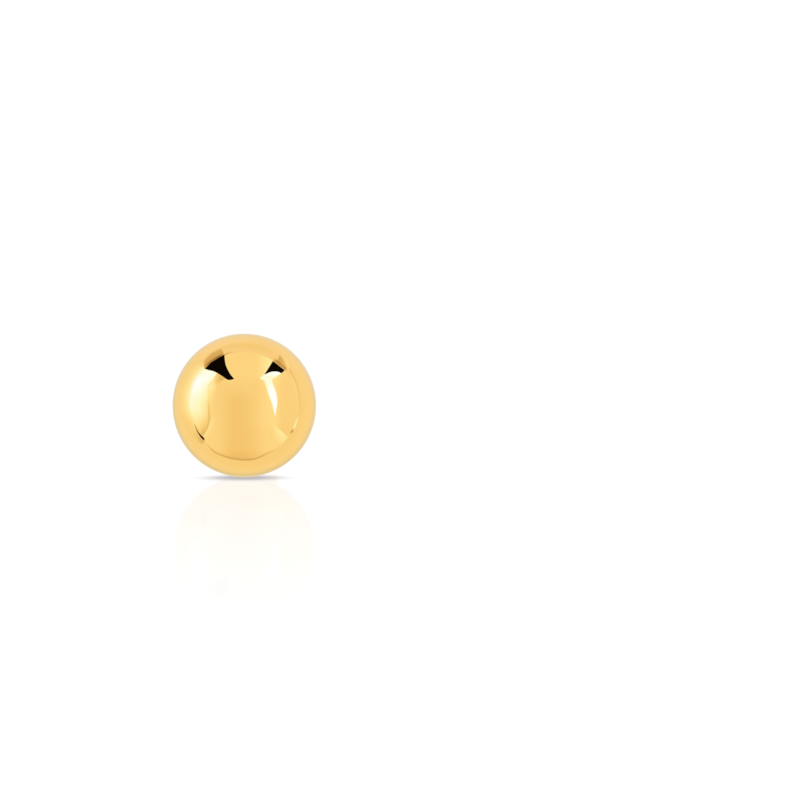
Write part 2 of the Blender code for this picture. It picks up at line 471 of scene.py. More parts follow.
def polished_gold(name, haze, scuff, scratch_depth):
    """Yellow gold off the buffing wheel: a mirror with a haze and hair-fine scratches.

    haze is the least and the most roughness, and scuff is what a scratch adds to it.
    """
    material = bpy.data.materials.new(name)
    material.use_nodes = True
    tree = material.node_tree
    shader = tree.nodes["Principled BSDF"]
    shader.inputs["Metallic"].default_value = 1.0
    shader.inputs["Specular Tint"].default_value = GOLD_AT_GRAZING
    where = node_of(tree, "TexCoord").outputs["Object"]

    clouds = noise(tree, where, CLOUD_SCALE, CLOUD_DETAIL)
    tint = node_of(tree, "Mix", data_type="RGBA")
    tint.inputs["A"].default_value = GOLD
    tint.inputs["B"].default_value = GOLD_DEEPER
    tree.links.new(ranged(tree, clouds, CLOUD_TINT_SPAN, WHOLE), tint.inputs["Factor"])
    tree.links.new(tint.outputs["Result"], shader.inputs["Base Color"])

    scratches = None
    for turn in SCRATCH_TURNS:
        lines = noise(tree, where, SCRATCH_SCALE, SCRATCH_DETAIL, SCRATCH_STRETCH, turn)
        thin = ranged(tree, lines, SCRATCH_SPAN, WHOLE)
        scratches = thin if scratches is None else combined(tree, scratches, thin, "MAXIMUM")
    clouded = ranged(tree, clouds, CLOUD_HAZE_SPAN, haze)
    scuffed = ranged(tree, scratches, WHOLE, (0.0, scuff))
    tree.links.new(combined(tree, clouded, scuffed, "ADD"), shader.inputs["Roughness"])

    bump = node_of(tree, "Bump", invert=True)
    bump.inputs["Strength"].default_value = 1.0
    bump.inputs["Distance"].default_value = scratch_depth
    tree.links.new(scratches, bump.inputs["Height"])
    tree.links.new(bump.outputs["Normal"], shader.inputs["Normal"])
    return material


# The camera, at the photograph's angle

LENS = 200.0
SENSOR = 36.0
FRAME_SIDE = 800
BALL_MIDDLE_PX = (244.4, 405.35)
BALL_ACROSS_PX = 143.7
CAMERA_ELEVATION = math.radians(3.0)
CLIP_START = 0.01
CLIP_END = 20.0

PX = SENSOR / FRAME_SIDE
FORWARD = Vector((0.0, math.cos(CAMERA_ELEVATION), -math.sin(CAMERA_ELEVATION)))
RIGHT = Vector((1.0, 0.0, 0.0))
UP = RIGHT.cross(FORWARD)


def view_line(u, v):
    """Direction from the camera through a point of the ball's disc, in ball radii."""
    reach = BALL_ACROSS_PX / 2
    right = (BALL_MIDDLE_PX[0] - FRAME_SIDE / 2 + u * reach) * PX
    up = (FRAME_SIDE / 2 - BALL_MIDDLE_PX[1] + v * reach) * PX
    return (FORWARD * LENS + RIGHT * right + UP * up).normalized()


CAMERA_DISTANCE = BALL_RADIUS / math.sin(math.atan(BALL_ACROSS_PX / 2 * PX / LENS))
CAMERA_PLACE = BALL_CENTRE - view_line(0.0, 0.0) * CAMERA_DISTANCE


def make_camera():
    """The camera that sees the ball where the photograph shows it."""
    data = bpy.data.cameras.new("camera")
    data.lens = LENS
    data.sensor_width = SENSOR
    data.clip_start = CLIP_START
    data.clip_end = CLIP_END
    camera = bpy.data.objects.new("camera", data)
    bpy.context.scene.collection.objects.link(camera)
    camera.matrix_world = (Matrix.Translation(CAMERA_PLACE)
                           @ Matrix((RIGHT, UP, -FORWARD)).transposed().to_4x4())
    bpy.context.scene.camera = camera


# The light tent that only reflections see

TENT_RADIUS = 0.4
TENT_FINENESS = 8
CARD_NEAREST = 0.28
CARD_SPACING = 0.01
CURVE_STEPS = 6

# Brightness and its colour: from -1, black, past 0, a dim white, to a softbox's hottest part

BRIGHTNESS = [
    (-1.00, (0.004, 0.003, 0.002)),
    (-0.60, (0.48, 0.34, 0.23)),
    (-0.35, (0.70, 0.61, 0.46)),
    (-0.10, (0.88, 0.83, 0.72)),
    (0.00, (0.95, 0.90, 0.79)),
    (0.10, (0.975, 0.96, 0.90)),
    (0.20, (1.00, 1.01, 1.00)),
    (0.35, (1.04, 1.09, 1.13)),
    (0.50, (1.04, 1.20, 1.37)),
    (0.65, (1.04, 1.32, 1.70)),
    (0.80, (1.04, 1.45, 2.25)),
    (0.90, (1.04, 1.54, 2.75)),
    (1.00, (1.04, 1.61, 3.95)),
    (1.10, (1.06, 1.66, 5.10)),
]

# The tent's white front in brightness, and its shades' spans on the ball's disc in ball radii

FRONT = 0.24
TOP_SPAN = (0.28, 0.46)
TOP_LIFT = 0.08
GLOW_START = (0.14, 0.40)
GLOW_END = (0.44, 0.56)
GLOW = 0.18
GLOW_AT_TOP = 0.17
LENS_MIDDLE = -0.05
LENS_ACROSS = (0.03, 0.34)
LENS_DOWN = (-0.33, -0.02)
LENS_SHADE = 0.20
LOW_SPAN = (0.10, 0.66)
LOW_SHADE = 0.04
FOOT_SPAN = (0.58, 0.74)
FOOT_SHADE = 0.14
CORNER_LEFT = (0.15, 0.45)
CORNER_DOWN = (0.0, 0.3)
CORNER_LIFT = 0.10

# The seam round the front, the tent's back and the light at the ball's very rim

SEAM = 0.748
SEAM_WIDTH = 0.020
SEAM_DIP = 0.007
SEAM_DIP_RIGHT = 0.008
SEAM_RIGHT_SPAN = (0.05, 0.35)
BACKDROP = 0.20
SKY_BLUE = 0.12
OUTER_GAIN = 0.05
OUTER_SPAN = (0.80, 0.92)
RIM_BELOW = (0.92, 0.91, 0.76)
RIM_ABOVE = (1.02, 1.04, 1.14)
RIM_START = 0.915
RIM_LATER_ABOVE = 0.04
RIM_FULL = 0.985
LEAN_MIDDLE = 0.5
LEAN_RIGHT = 0.15
LEAN_UP = 0.5
NO_LENGTH = 0.0001


def mixed(first, second, share):
    """What lies between two colours or two places, number by number."""
    return tuple(a + (b - a) * share for a, b in zip(first, second))


def light_of(brightness):
    """The colour of the studio's light at a brightness: hot light whitens, dim light warms."""
    brightness = min(max(brightness, BRIGHTNESS[0][0]), BRIGHTNESS[-1][0])
    for (low, dark), (high, bright) in zip(BRIGHTNESS, BRIGHTNESS[1:]):
        if brightness <= high:
            return mixed(dark, bright, (brightness - low) / (high - low))
    return BRIGHTNESS[-1][1]


def rise(value, start, end):
    """A smooth step from 0 at start to 1 at end."""
    share = min(max((value - start) / (end - start), 0.0), 1.0)
    return share * share * (3 - 2 * share)


def bounce(u, v, distance):
    """Where the line seen at a point of the ball's disc goes, that far from the ball."""
    line = view_line(u, v)
    to_ball = BALL_CENTRE - CAMERA_PLACE
    near = line.dot(to_ball)
    gap = BALL_RADIUS ** 2 - (to_ball.length_squared - near ** 2)
    hit = CAMERA_PLACE + line * (near - math.sqrt(max(gap, 0.0)))
    away = hit - BALL_CENTRE
    onward = line.reflect(away.normalized())
    along = onward.dot(away)
    return hit + onward * (math.sqrt(along ** 2 - away.length_squared + distance ** 2) - along)


def front_brightness(u, v):
    """The white front of the tent, with the lens's soft shade in it and a glow to the right."""
    top = rise(v, *TOP_SPAN)
    glow = rise(u, *GLOW_START) * (GLOW + GLOW_AT_TOP * top) * (1 - rise(u, *GLOW_END))
    shade = (1 - rise(abs(u - LENS_MIDDLE), *LENS_ACROSS)) * rise(-v, *LENS_DOWN)
    low = LOW_SHADE * rise(-v, *LOW_SPAN) * (1 - shade)
    foot = FOOT_SHADE * rise(-v, *FOOT_SPAN)
    corner = CORNER_LIFT * rise(-u, *CORNER_LEFT) * rise(-v, *CORNER_DOWN)
    return FRONT + TOP_LIFT * top + corner + glow - LENS_SHADE * shade - low - foot


def tent_light(direction):
    """The tent's light in a direction, told by where the ball's disc would mirror it."""
    half = direction.normalized() - view_line(0.0, 0.0)
    half = half.normalized() if half.length > NO_LENGTH else UP
    u, v = half.dot(RIGHT), half.dot(UP)
    radius = math.hypot(u, v)
    dip = SEAM_DIP + SEAM_DIP_RIGHT * rise(u, *SEAM_RIGHT_SPAN)
    seam = SEAM - dip * rise(v, *TOP_SPAN)
    behind = rise(radius, seam, seam + SEAM_WIDTH)
    red, green, blue = light_of(front_brightness(u, v) * (1 - behind) + BACKDROP * behind)
    gain = 1 + OUTER_GAIN * rise(radius, *OUTER_SPAN)
    light = (red * gain, green * gain, blue * gain * (1 + SKY_BLUE * behind * max(v, 0.0)))
    lean = LEAN_MIDDLE + LEAN_RIGHT * u + LEAN_UP * v
    rim = mixed(RIM_BELOW, RIM_ABOVE, lean)
    return mixed(light, rim, rise(radius, RIM_START + RIM_LATER_ABOVE * lean, RIM_FULL))


def studio_material():
    """Light in the colours that the studio's meshes carry, see-through where they fade."""
    material = bpy.data.materials.new("studio_light")
    material.use_nodes = True
    material.cycles.emission_sampling = "NONE"
    tree = material.node_tree
    tree.nodes.remove(tree.nodes["Principled BSDF"])
    colour = node_of(tree, "Attribute", attribute_name="light")
    glow = node_of(tree, "Emission")
    clear = node_of(tree, "BsdfTransparent")
    blend = node_of(tree, "MixShader")
    tree.links.new(colour.outputs["Color"], glow.inputs["Color"])
    tree.links.new(colour.outputs["Alpha"], blend.inputs["Fac"])
    tree.links.new(clear.outputs["BSDF"], blend.inputs[1])
    tree.links.new(glow.outputs["Emission"], blend.inputs[2])
    tree.links.new(blend.outputs["Shader"], tree.nodes["Material Output"].inputs["Surface"])
    return material


def hang_in_studio(name, bm, material):
    """A studio mesh that only reflections see, with its light on its points."""
    card = mesh_object(name, bm, material)
    card.visible_camera = False
    card.visible_diffuse = False
    card.visible_transmission = False
    card.visible_volume_scatter = False
    card.visible_shadow = False


def make_tent(material):
    """A sphere round the ball that glows inwards."""
    bm = bmesh.new()
    bmesh.ops.create_icosphere(bm, subdivisions=TENT_FINENESS, radius=TENT_RADIUS)
    paint = bm.verts.layers.float_color.new("light")
    for vert in bm.verts:
        vert[paint] = (*tent_light(vert.co), 1.0)
    bmesh.ops.reverse_faces(bm, faces=bm.faces)
    bmesh.ops.translate(bm, vec=BALL_CENTRE, verts=bm.verts)
    hang_in_studio("light_tent", bm, material)


def curved(points, steps=CURVE_STEPS):
    """A smooth line through points of any kind, with a few steps between each two."""
    line = []
    for place in range(len(points) - 1):
        before = points[max(place - 1, 0)]
        start, end = points[place], points[place + 1]
        after = points[min(place + 2, len(points) - 1)]
        for step in range(steps):
            t = step / steps
            line.append(tuple(
                0.5 * (2 * b + (c - a) * t + (2 * a - 5 * b + 4 * c - d) * t * t
                       + (3 * b - a - 3 * c + d) * t ** 3)
                for a, b, c, d in zip(before, start, end, after)))
    line.append(tuple(points[-1]))
    return line


def spread_card(bm, order, points):
    """Put a flat mesh's points, in their own order, where the ball's disc mirrors them."""
    paint = bm.verts.layers.float_color.new("light")
    distance = CARD_NEAREST + CARD_SPACING * order
    for vert, (u, v, brightness, cover) in zip(bm.verts, points):
        vert.co = bounce(u, v, distance)
        vert[paint] = (*light_of(brightness), min(max(cover, 0.0), 1.0))


def hang_band(name, order, material, lines):
    """A card between lines on the ball's disc, each of (u, v, brightness, cover) points.

    u is right and v is up, in ball radii, and cover goes from 0, clear, to 1. A card of a
    lower order hangs nearer the ball, in front of the others.
    """
    rows = [curved(points) for points in lines]
    bm = bmesh.new()
    bmesh.ops.create_grid(bm, x_segments=len(rows[0]) - 1, y_segments=len(rows) - 1, size=1.0)
    spread_card(bm, order, [point for row in rows for point in row])
    hang_in_studio(name, bm, material)


# A line's section: how far out in widths, and how much of its cover is left there

LINE_SECTION = ((-0.8, 0.0), (-0.2, 1.0), (0.2, 1.0), (0.8, 0.0))
LINE_STEPS = 3


def hang_line(name, order, material, width, points):
    """A thin card along one line on the ball's disc, solid in its middle."""
    middle = curved(points, LINE_STEPS)
    sides = [[] for part in LINE_SECTION]
    for place, (u, v, brightness, cover) in enumerate(middle):
        after = middle[min(place + 1, len(middle) - 1)]
        before = middle[max(place - 1, 0)]
        across = Vector((before[1] - after[1], after[0] - before[0])).normalized()
        for side, (share, kept) in zip(sides, LINE_SECTION):
            side.append((u + across.x * width * share, v + across.y * width * share,
                         brightness, cover * kept))
    hang_band(name, order, material, sides)


def hang_panel(name, order, material, brightness, *sides):
    """A card of one brightness, its hard outline made of curved sides that meet in corners."""
    outline = [(u, v, brightness, 1.0) for side in sides for u, v in curved(side)[:-1]]
    bm = bmesh.new()
    bmesh.ops.create_circle(bm, cap_ends=True, segments=len(outline), radius=1.0)
    spread_card(bm, order, outline)
    bmesh.ops.triangulate(bm, faces=bm.faces[:])
    hang_in_studio(name, bm, material)


def ringed(points):
    """Points of a line given as (degrees up from the right, radius, brightness, cover)."""
    return [(radius * math.cos(math.radians(angle)), radius * math.sin(math.radians(angle)),
             brightness, cover) for angle, radius, brightness, cover in points]


# The cards, their points from the top down or from left to right


def hang_left_softbox(material):
    """The large softbox: a hard inner edge, hottest by its soft outer edge, fading downwards."""
    edge = [(-0.372, 0.475, 0.92, 1.0), (-0.388, 0.440, 0.92, 1.0),
            (-0.439, 0.360, 0.90, 1.0), (-0.496, 0.275, 0.82, 1.0),
            (-0.511, 0.198, 0.80, 1.0), (-0.511, 0.120, 0.73, 1.0),
            (-0.508, 0.042, 0.60, 1.0), (-0.497, -0.060, 0.46, 1.0),
            (-0.487, -0.150, 0.26, 1.0), (-0.493, -0.225, 0.10, 1.0),
            (-0.513, -0.298, 0.00, 1.0), (-0.540, -0.355, -0.14, 1.0),
            (-0.571, -0.418, -0.30, 1.0)]
    middle = [(-0.440, 0.515, 0.94, 1.0), (-0.475, 0.450, 1.02, 1.0),
              (-0.530, 0.370, 1.03, 1.0), (-0.585, 0.285, 0.99, 1.0),
              (-0.610, 0.205, 0.97, 1.0), (-0.622, 0.125, 0.93, 1.0),
              (-0.625, 0.045, 0.89, 1.0), (-0.620, -0.045, 0.84, 1.0),
              (-0.600, -0.130, 0.72, 1.0), (-0.590, -0.205, 0.51, 1.0),
              (-0.585, -0.280, 0.28, 1.0), (-0.590, -0.345, 0.04, 1.0),
              (-0.594, -0.410, -0.22, 1.0)]
    lip = [(-0.520, 0.560, 0.60, 0.6), (-0.560, 0.500, 0.90, 1.0),
           (-0.614, 0.410, 1.00, 1.0), (-0.664, 0.318, 1.10, 1.0),
           (-0.702, 0.225, 1.04, 1.0), (-0.730, 0.135, 0.98, 1.0),
           (-0.745, 0.050, 0.95, 1.0), (-0.742, -0.030, 0.93, 1.0),
           (-0.718, -0.110, 0.84, 1.0), (-0.685, -0.185, 0.72, 1.0),
           (-0.655, -0.255, 0.56, 1.0), (-0.632, -0.325, 0.34, 1.0),
           (-0.605, -0.395, 0.00, 1.0)]
    shoulder = [(-0.555, 0.580, 0.40, 0.2), (-0.620, 0.525, 0.60, 0.8),
                (-0.680, 0.438, 0.60, 1.0), (-0.728, 0.342, 0.62, 1.0),
                (-0.762, 0.240, 0.66, 1.0), (-0.784, 0.145, 0.68, 1.0),
                (-0.795, 0.055, 0.66, 1.0), (-0.790, -0.035, 0.64, 1.0),
                (-0.768, -0.120, 0.58, 1.0), (-0.732, -0.195, 0.52, 1.0),
                (-0.695, -0.265, 0.42, 1.0), (-0.660, -0.330, 0.30, 1.0),
                (-0.615, -0.400, 0.05, 1.0)]
    halo = [(-0.590, 0.600, 0.36, 0.5), (-0.665, 0.550, 0.44, 0.8),
            (-0.740, 0.460, 0.40, 0.9), (-0.785, 0.360, 0.42, 1.0),
            (-0.812, 0.250, 0.50, 1.0), (-0.830, 0.150, 0.52, 1.0),
            (-0.838, 0.058, 0.50, 1.0), (-0.832, -0.040, 0.47, 1.0),
            (-0.808, -0.130, 0.38, 1.0), (-0.770, -0.205, 0.34, 1.0),
            (-0.725, -0.275, 0.28, 0.9), (-0.680, -0.340, 0.22, 0.8),
            (-0.625, -0.405, 0.10, 0.6)]
    end = [(-0.620, 0.620, 0.22, 0.0), (-0.710, 0.590, 0.24, 0.0),
           (-0.800, 0.490, 0.26, 0.0), (-0.860, 0.380, 0.28, 0.0),
           (-0.900, 0.265, 0.32, 0.0), (-0.925, 0.155, 0.34, 0.0),
           (-0.930, 0.060, 0.34, 0.0), (-0.920, -0.050, 0.32, 0.0),
           (-0.885, -0.145, 0.30, 0.0), (-0.830, -0.225, 0.28, 0.0),
           (-0.770, -0.300, 0.24, 0.0), (-0.710, -0.360, 0.20, 0.0),
           (-0.635, -0.410, 0.12, 0.0)]
    hang_band("left_softbox", 6, material, [edge, middle, lip, shoulder, halo, end])


def hang_softbox_spill(material):
    """Light that spills past the softbox's inner edge, and the flap that shades its top."""
    spill_start = [(-0.415, 0.420, 0.62, 0.9), (-0.447, 0.345, 0.62, 1.0),
                   (-0.491, 0.269, 0.74, 1.0), (-0.508, 0.198, 0.64, 1.0),
                   (-0.508, 0.042, 0.48, 1.0), (-0.497, -0.060, 0.40, 1.0),
                   (-0.486, -0.150, 0.40, 1.0), (-0.495, -0.222, 0.46, 1.0),
                   (-0.519, -0.294, 0.52, 1.0), (-0.553, -0.347, 0.50, 1.0),
                   (-0.577, -0.400, 0.48, 1.0), (-0.568, -0.470, 0.36, 1.0)]
    spill_middle = [(-0.395, 0.405, 0.40, 0.7), (-0.412, 0.330, 0.44, 0.9),
                    (-0.438, 0.250, 0.62, 1.0), (-0.455, 0.180, 0.52, 1.0),
                    (-0.455, 0.042, 0.38, 1.0), (-0.445, -0.060, 0.32, 1.0),
                    (-0.438, -0.150, 0.36, 1.0), (-0.445, -0.222, 0.42, 1.0),
                    (-0.465, -0.294, 0.46, 1.0), (-0.490, -0.360, 0.42, 1.0),
                    (-0.510, -0.420, 0.38, 1.0), (-0.525, -0.480, 0.30, 1.0)]
    spill_end = [(-0.370, 0.390, 0.24, 0.0), (-0.372, 0.305, 0.32, 0.5),
                 (-0.385, 0.220, 0.38, 0.5), (-0.385, 0.160, 0.30, 0.2),
                 (-0.370, 0.042, 0.24, 0.0), (-0.360, -0.060, 0.22, 0.0),
                 (-0.340, -0.150, 0.22, 0.0), (-0.330, -0.222, 0.22, 0.0),
                 (-0.340, -0.294, 0.22, 0.0), (-0.370, -0.360, 0.22, 0.0),
                 (-0.400, -0.420, 0.22, 0.0), (-0.430, -0.500, 0.22, 0.0)]
    hang_band("softbox_spill", 8, material, [spill_start, spill_middle, spill_end])
    hang_band("softbox_flap", 7, material, [
        [(-0.400, 0.445, 0.10, 0.0), (-0.412, 0.400, 0.10, 0.0), (-0.420, 0.355, 0.10, 0.0),
         (-0.412, 0.310, 0.10, 0.0)],
        [(-0.378, 0.440, 0.02, 0.8), (-0.382, 0.390, 0.05, 0.8), (-0.386, 0.345, 0.05, 0.8),
         (-0.386, 0.298, 0.00, 0.8)],
        [(-0.330, 0.412, -0.12, 1.0), (-0.334, 0.378, -0.15, 1.0), (-0.346, 0.345, -0.10, 1.0),
         (-0.370, 0.308, -0.02, 0.8)],
        [(-0.280, 0.382, -0.15, 1.0), (-0.296, 0.366, -0.15, 1.0), (-0.322, 0.344, -0.08, 1.0),
         (-0.358, 0.314, -0.02, 0.7)],
        [(-0.255, 0.358, 0.20, 0.0), (-0.283, 0.344, 0.20, 0.0), (-0.313, 0.324, 0.20, 0.0),
         (-0.350, 0.296, 0.20, 0.0)],
    ])


def hang_low_slit(material):
    """The softbox's dark lower edge and the slit under it, with its tail, glint and smear."""
    hang_line("softbox_edge", 5, material, 0.022, [
        (-0.506, 0.080, 0.0, 0.0), (-0.504, 0.040, 0.0, 0.5), (-0.496, -0.050, -0.08, 0.8),
        (-0.488, -0.150, -0.18, 0.9), (-0.494, -0.225, -0.16, 0.9),
        (-0.514, -0.298, -0.14, 0.9), (-0.541, -0.355, -0.12, 0.8), (-0.572, -0.418, -0.1, 0.5)])
    hang_panel("low_slit", 1, material, -0.965,
               [(-0.659, -0.344), (-0.639, -0.375), (-0.609, -0.406), (-0.582, -0.431),
                (-0.562, -0.453), (-0.555, -0.471), (-0.556, -0.483)],
               [(-0.556, -0.483), (-0.567, -0.484), (-0.582, -0.474), (-0.603, -0.452),
                (-0.626, -0.420), (-0.646, -0.379), (-0.659, -0.344)])
    hang_line("slit_tail", 2, material, 0.014, [
        (-0.702, -0.252, -0.2, 0.2), (-0.688, -0.280, -0.4, 0.7), (-0.672, -0.316, -0.5, 1.0),
        (-0.655, -0.357, -0.8, 1.0), (-0.633, -0.396, -0.9, 1.0)])
    hang_line("slit_glint", 3, material, 0.014, [
        (-0.620, -0.392, 0.4, 0.2), (-0.590, -0.424, 0.45, 0.8), (-0.560, -0.450, 0.45, 0.8),
        (-0.543, -0.476, 0.4, 0.2)])
    hang_line("slit_smear", 4, material, 0.06, [
        (-0.690, -0.345, 0.0, 0.0), (-0.672, -0.395, -0.06, 0.6), (-0.640, -0.445, -0.12, 0.8),
        (-0.603, -0.487, -0.20, 0.9), (-0.570, -0.506, -0.25, 0.7), (-0.545, -0.512, -0.2, 0.2)])


def hang_left_gap(material):
    """The black gap in the tent's upper left corner, and the dim edges round it."""
    hang_panel("upper_left_gap", 1, material, -1.0,
               [(-0.276, 0.706), (-0.344, 0.672), (-0.401, 0.637), (-0.458, 0.602),
                (-0.495, 0.565), (-0.524, 0.534), (-0.558, 0.512)],
               [(-0.558, 0.512), (-0.500, 0.4915), (-0.444, 0.4785), (-0.403, 0.4625),
                (-0.346, 0.4295), (-0.296, 0.3965), (-0.245, 0.3615), (-0.207, 0.352),
                (-0.168, 0.359), (-0.140, 0.371)],
               [(-0.140, 0.371), (-0.172, 0.404), (-0.199, 0.439), (-0.220, 0.476),
                (-0.241, 0.518), (-0.259, 0.565), (-0.2705, 0.620), (-0.276, 0.670),
                (-0.276, 0.706)])
    hang_line("left_gap_shade", 2, material, 0.040, [
        (-0.288, 0.712, -0.5, 0.5), (-0.344, 0.682, -0.75, 0.8), (-0.401, 0.648, -0.75, 0.8),
        (-0.458, 0.610, -0.75, 0.8), (-0.500, 0.574, -0.75, 0.8), (-0.532, 0.540, -0.6, 0.6),
        (-0.556, 0.518, -0.4, 0.2)])
    hang_panel("upper_left_dim", 4, material, -0.30,
               [(-0.282, 0.697), (-0.298, 0.748), (-0.326, 0.787)],
               [(-0.326, 0.785), (-0.365, 0.770), (-0.416, 0.745), (-0.458, 0.719),
                (-0.493, 0.689), (-0.528, 0.653), (-0.553, 0.616), (-0.560, 0.580),
                (-0.560, 0.545), (-0.554, 0.508)],
               [(-0.556, 0.508), (-0.480, 0.540), (-0.400, 0.590), (-0.282, 0.697)])
    hang_line("upper_left_dim_lip", 3, material, 0.024, [
        (-0.322, 0.782, -0.15, 0.5), (-0.363, 0.767, -0.15, 0.6), (-0.413, 0.742, -0.15, 0.6),
        (-0.458, 0.717, -0.15, 0.6), (-0.493, 0.688, -0.15, 0.6), (-0.529, 0.652, -0.15, 0.6),
        (-0.555, 0.615, -0.15, 0.6), (-0.562, 0.575, -0.15, 0.5)])
    hang_line("gap_hair_line", 3, material, 0.014, [
        (-0.278, 0.703, -0.45, 1.0), (-0.235, 0.722, -0.35, 0.9), (-0.170, 0.738, -0.20, 0.6),
        (-0.100, 0.745, 0.0, 0.4), (0.000, 0.748, 0.1, 0.3)])
    hang_line("left_gap_glint", 3, material, 0.018, [
        (-0.262, 0.640, 0.4, 0.1), (-0.250, 0.560, 0.45, 0.8), (-0.231, 0.500, 0.5, 0.9),
        (-0.208, 0.453, 0.5, 0.9), (-0.182, 0.418, 0.5, 0.9), (-0.150, 0.392, 0.5, 0.8),
        (-0.128, 0.370, 0.45, 0.6), (-0.165, 0.346, 0.45, 0.7), (-0.207, 0.338, 0.45, 0.7),
        (-0.250, 0.352, 0.4, 0.4)])


def hang_right_gap(material):
    """The smaller black gap in the upper right corner, and the stripes and glow round it."""
    hang_panel("upper_right_gap", 0, material, -1.0,
               [(0.396, 0.618), (0.443, 0.583), (0.502, 0.536), (0.560, 0.489)],
               [(0.560, 0.489), (0.540, 0.467), (0.511, 0.446)],
               [(0.511, 0.446), (0.487, 0.461), (0.455, 0.469), (0.394, 0.469),
                (0.350, 0.459), (0.309, 0.441), (0.277, 0.430)],
               [(0.277, 0.430), (0.304, 0.470), (0.332, 0.513), (0.363, 0.564), (0.396, 0.618)])
    hang_line("gap_stripe_near", 2, material, 0.018, [
        (0.408, 0.622, -0.40, 0.7), (0.460, 0.592, -0.60, 1.0), (0.512, 0.552, -0.55, 1.0),
        (0.562, 0.510, -0.60, 1.0), (0.584, 0.484, -0.35, 0.5)])
    hang_line("gap_stripe_far", 2, material, 0.016, [
        (0.408, 0.636, -0.35, 0.7), (0.445, 0.626, -0.50, 1.0), (0.490, 0.600, -0.60, 1.0),
        (0.532, 0.564, -0.45, 0.9), (0.580, 0.520, -0.45, 0.8), (0.592, 0.498, -0.25, 0.4)])
    hang_line("gap_stripe_bed", 4, material, 0.060, [
        (0.420, 0.622, -0.15, 0.5), (0.470, 0.598, -0.15, 0.9), (0.520, 0.560, -0.15, 0.9),
        (0.575, 0.508, -0.10, 0.5)])
    hang_band("upper_right_dim", 5, material, [
        [(0.485, 0.710, -0.15, 1.0), (0.517, 0.673, -0.15, 0.9), (0.548, 0.632, -0.12, 0.7),
         (0.575, 0.575, 0.0, 0.3)],
        [(0.474, 0.660, -0.28, 1.0), (0.508, 0.630, -0.30, 1.0), (0.542, 0.595, -0.24, 0.9),
         (0.578, 0.550, -0.05, 0.4)],
        [(0.462, 0.628, -0.22, 1.0), (0.498, 0.604, -0.25, 1.0), (0.535, 0.570, -0.20, 0.9),
         (0.578, 0.528, -0.05, 0.4)],
    ])
    hang_line("right_gap_glow", 4, material, 0.030, [
        (0.552, 0.668, 0.38, 0.4), (0.588, 0.622, 0.45, 0.9), (0.604, 0.570, 0.47, 0.9),
        (0.612, 0.530, 0.48, 0.8), (0.610, 0.490, 0.40, 0.0)])


def hang_top_band(material):
    """The dim band over the front's top, between the gaps."""
    hang_band("top_band", 7, material, [
        ringed([(128, 0.800, 0.15, 0.0), (108, 0.800, 0.10, 0.0), (90, 0.800, 0.10, 0.0),
                (72, 0.795, 0.12, 0.0), (60, 0.790, 0.15, 0.0)]),
        ringed([(128, 0.825, 0.17, 0.0), (108, 0.825, 0.13, 1.0), (90, 0.825, 0.12, 1.0),
                (72, 0.820, 0.14, 1.0), (60, 0.810, 0.17, 0.0)]),
        ringed([(128, 0.855, 0.17, 0.0), (108, 0.855, 0.13, 1.0), (90, 0.855, 0.13, 1.0),
                (72, 0.845, 0.14, 1.0), (60, 0.830, 0.17, 0.0)]),
        ringed([(128, 0.885, 0.15, 0.0), (108, 0.885, 0.12, 0.0), (90, 0.885, 0.12, 0.0),
                (72, 0.875, 0.12, 0.0), (60, 0.860, 0.15, 0.0)]),
    ])


# The strip light's section: share of the way across, brightness at its top and below it

STRIP_SECTION = ((0.0, 0.58, 0.70), (0.12, 0.92, 1.03), (0.40, 0.99, 1.10), (0.84, 0.95, 1.07),
                 (1.0, 0.50, 0.55))
STRIP_TOP_POINTS = 2


def hang_right_strip(material):
    """The narrow strip light with its hooked top."""
    hang_panel("strip_hook", 3, material, 0.95,
               [(0.219, 0.378), (0.250, 0.410), (0.298, 0.437), (0.346, 0.460),
                (0.394, 0.472), (0.442, 0.474), (0.480, 0.468), (0.519, 0.444)],
               [(0.519, 0.444), (0.466, 0.414), (0.418, 0.385), (0.388, 0.366)],
               [(0.388, 0.364), (0.340, 0.350), (0.264, 0.352)],
               [(0.264, 0.352), (0.240, 0.358), (0.219, 0.375)])
    hang_panel("strip_top", 1, material, 1.06,
               [(0.262, 0.414), (0.298, 0.431), (0.346, 0.455), (0.394, 0.467),
                (0.442, 0.470), (0.478, 0.464), (0.502, 0.449)],
               [(0.502, 0.449), (0.440, 0.428), (0.370, 0.420), (0.262, 0.414)])
    left = [(0.262, 0.354), (0.288, 0.287), (0.311, 0.215), (0.335, 0.143), (0.354, 0.090),
            (0.385, 0.003), (0.408, -0.080), (0.427, -0.150)]
    right = [(0.390, 0.366), (0.402, 0.321), (0.420, 0.263), (0.442, 0.200), (0.459, 0.119),
             (0.461, 0.040), (0.449, -0.040), (0.430, -0.150)]
    lines = []
    for share, at_top, below in STRIP_SECTION:
        line = []
        for place, sides in enumerate(zip(left, right)):
            down = min(max(place - 1, 0) / STRIP_TOP_POINTS, 1)
            line.append((*mixed(*sides, share), at_top + (below - at_top) * down, 1.0))
        lines.append(line)
    hang_band("right_strip", 2, material, lines)


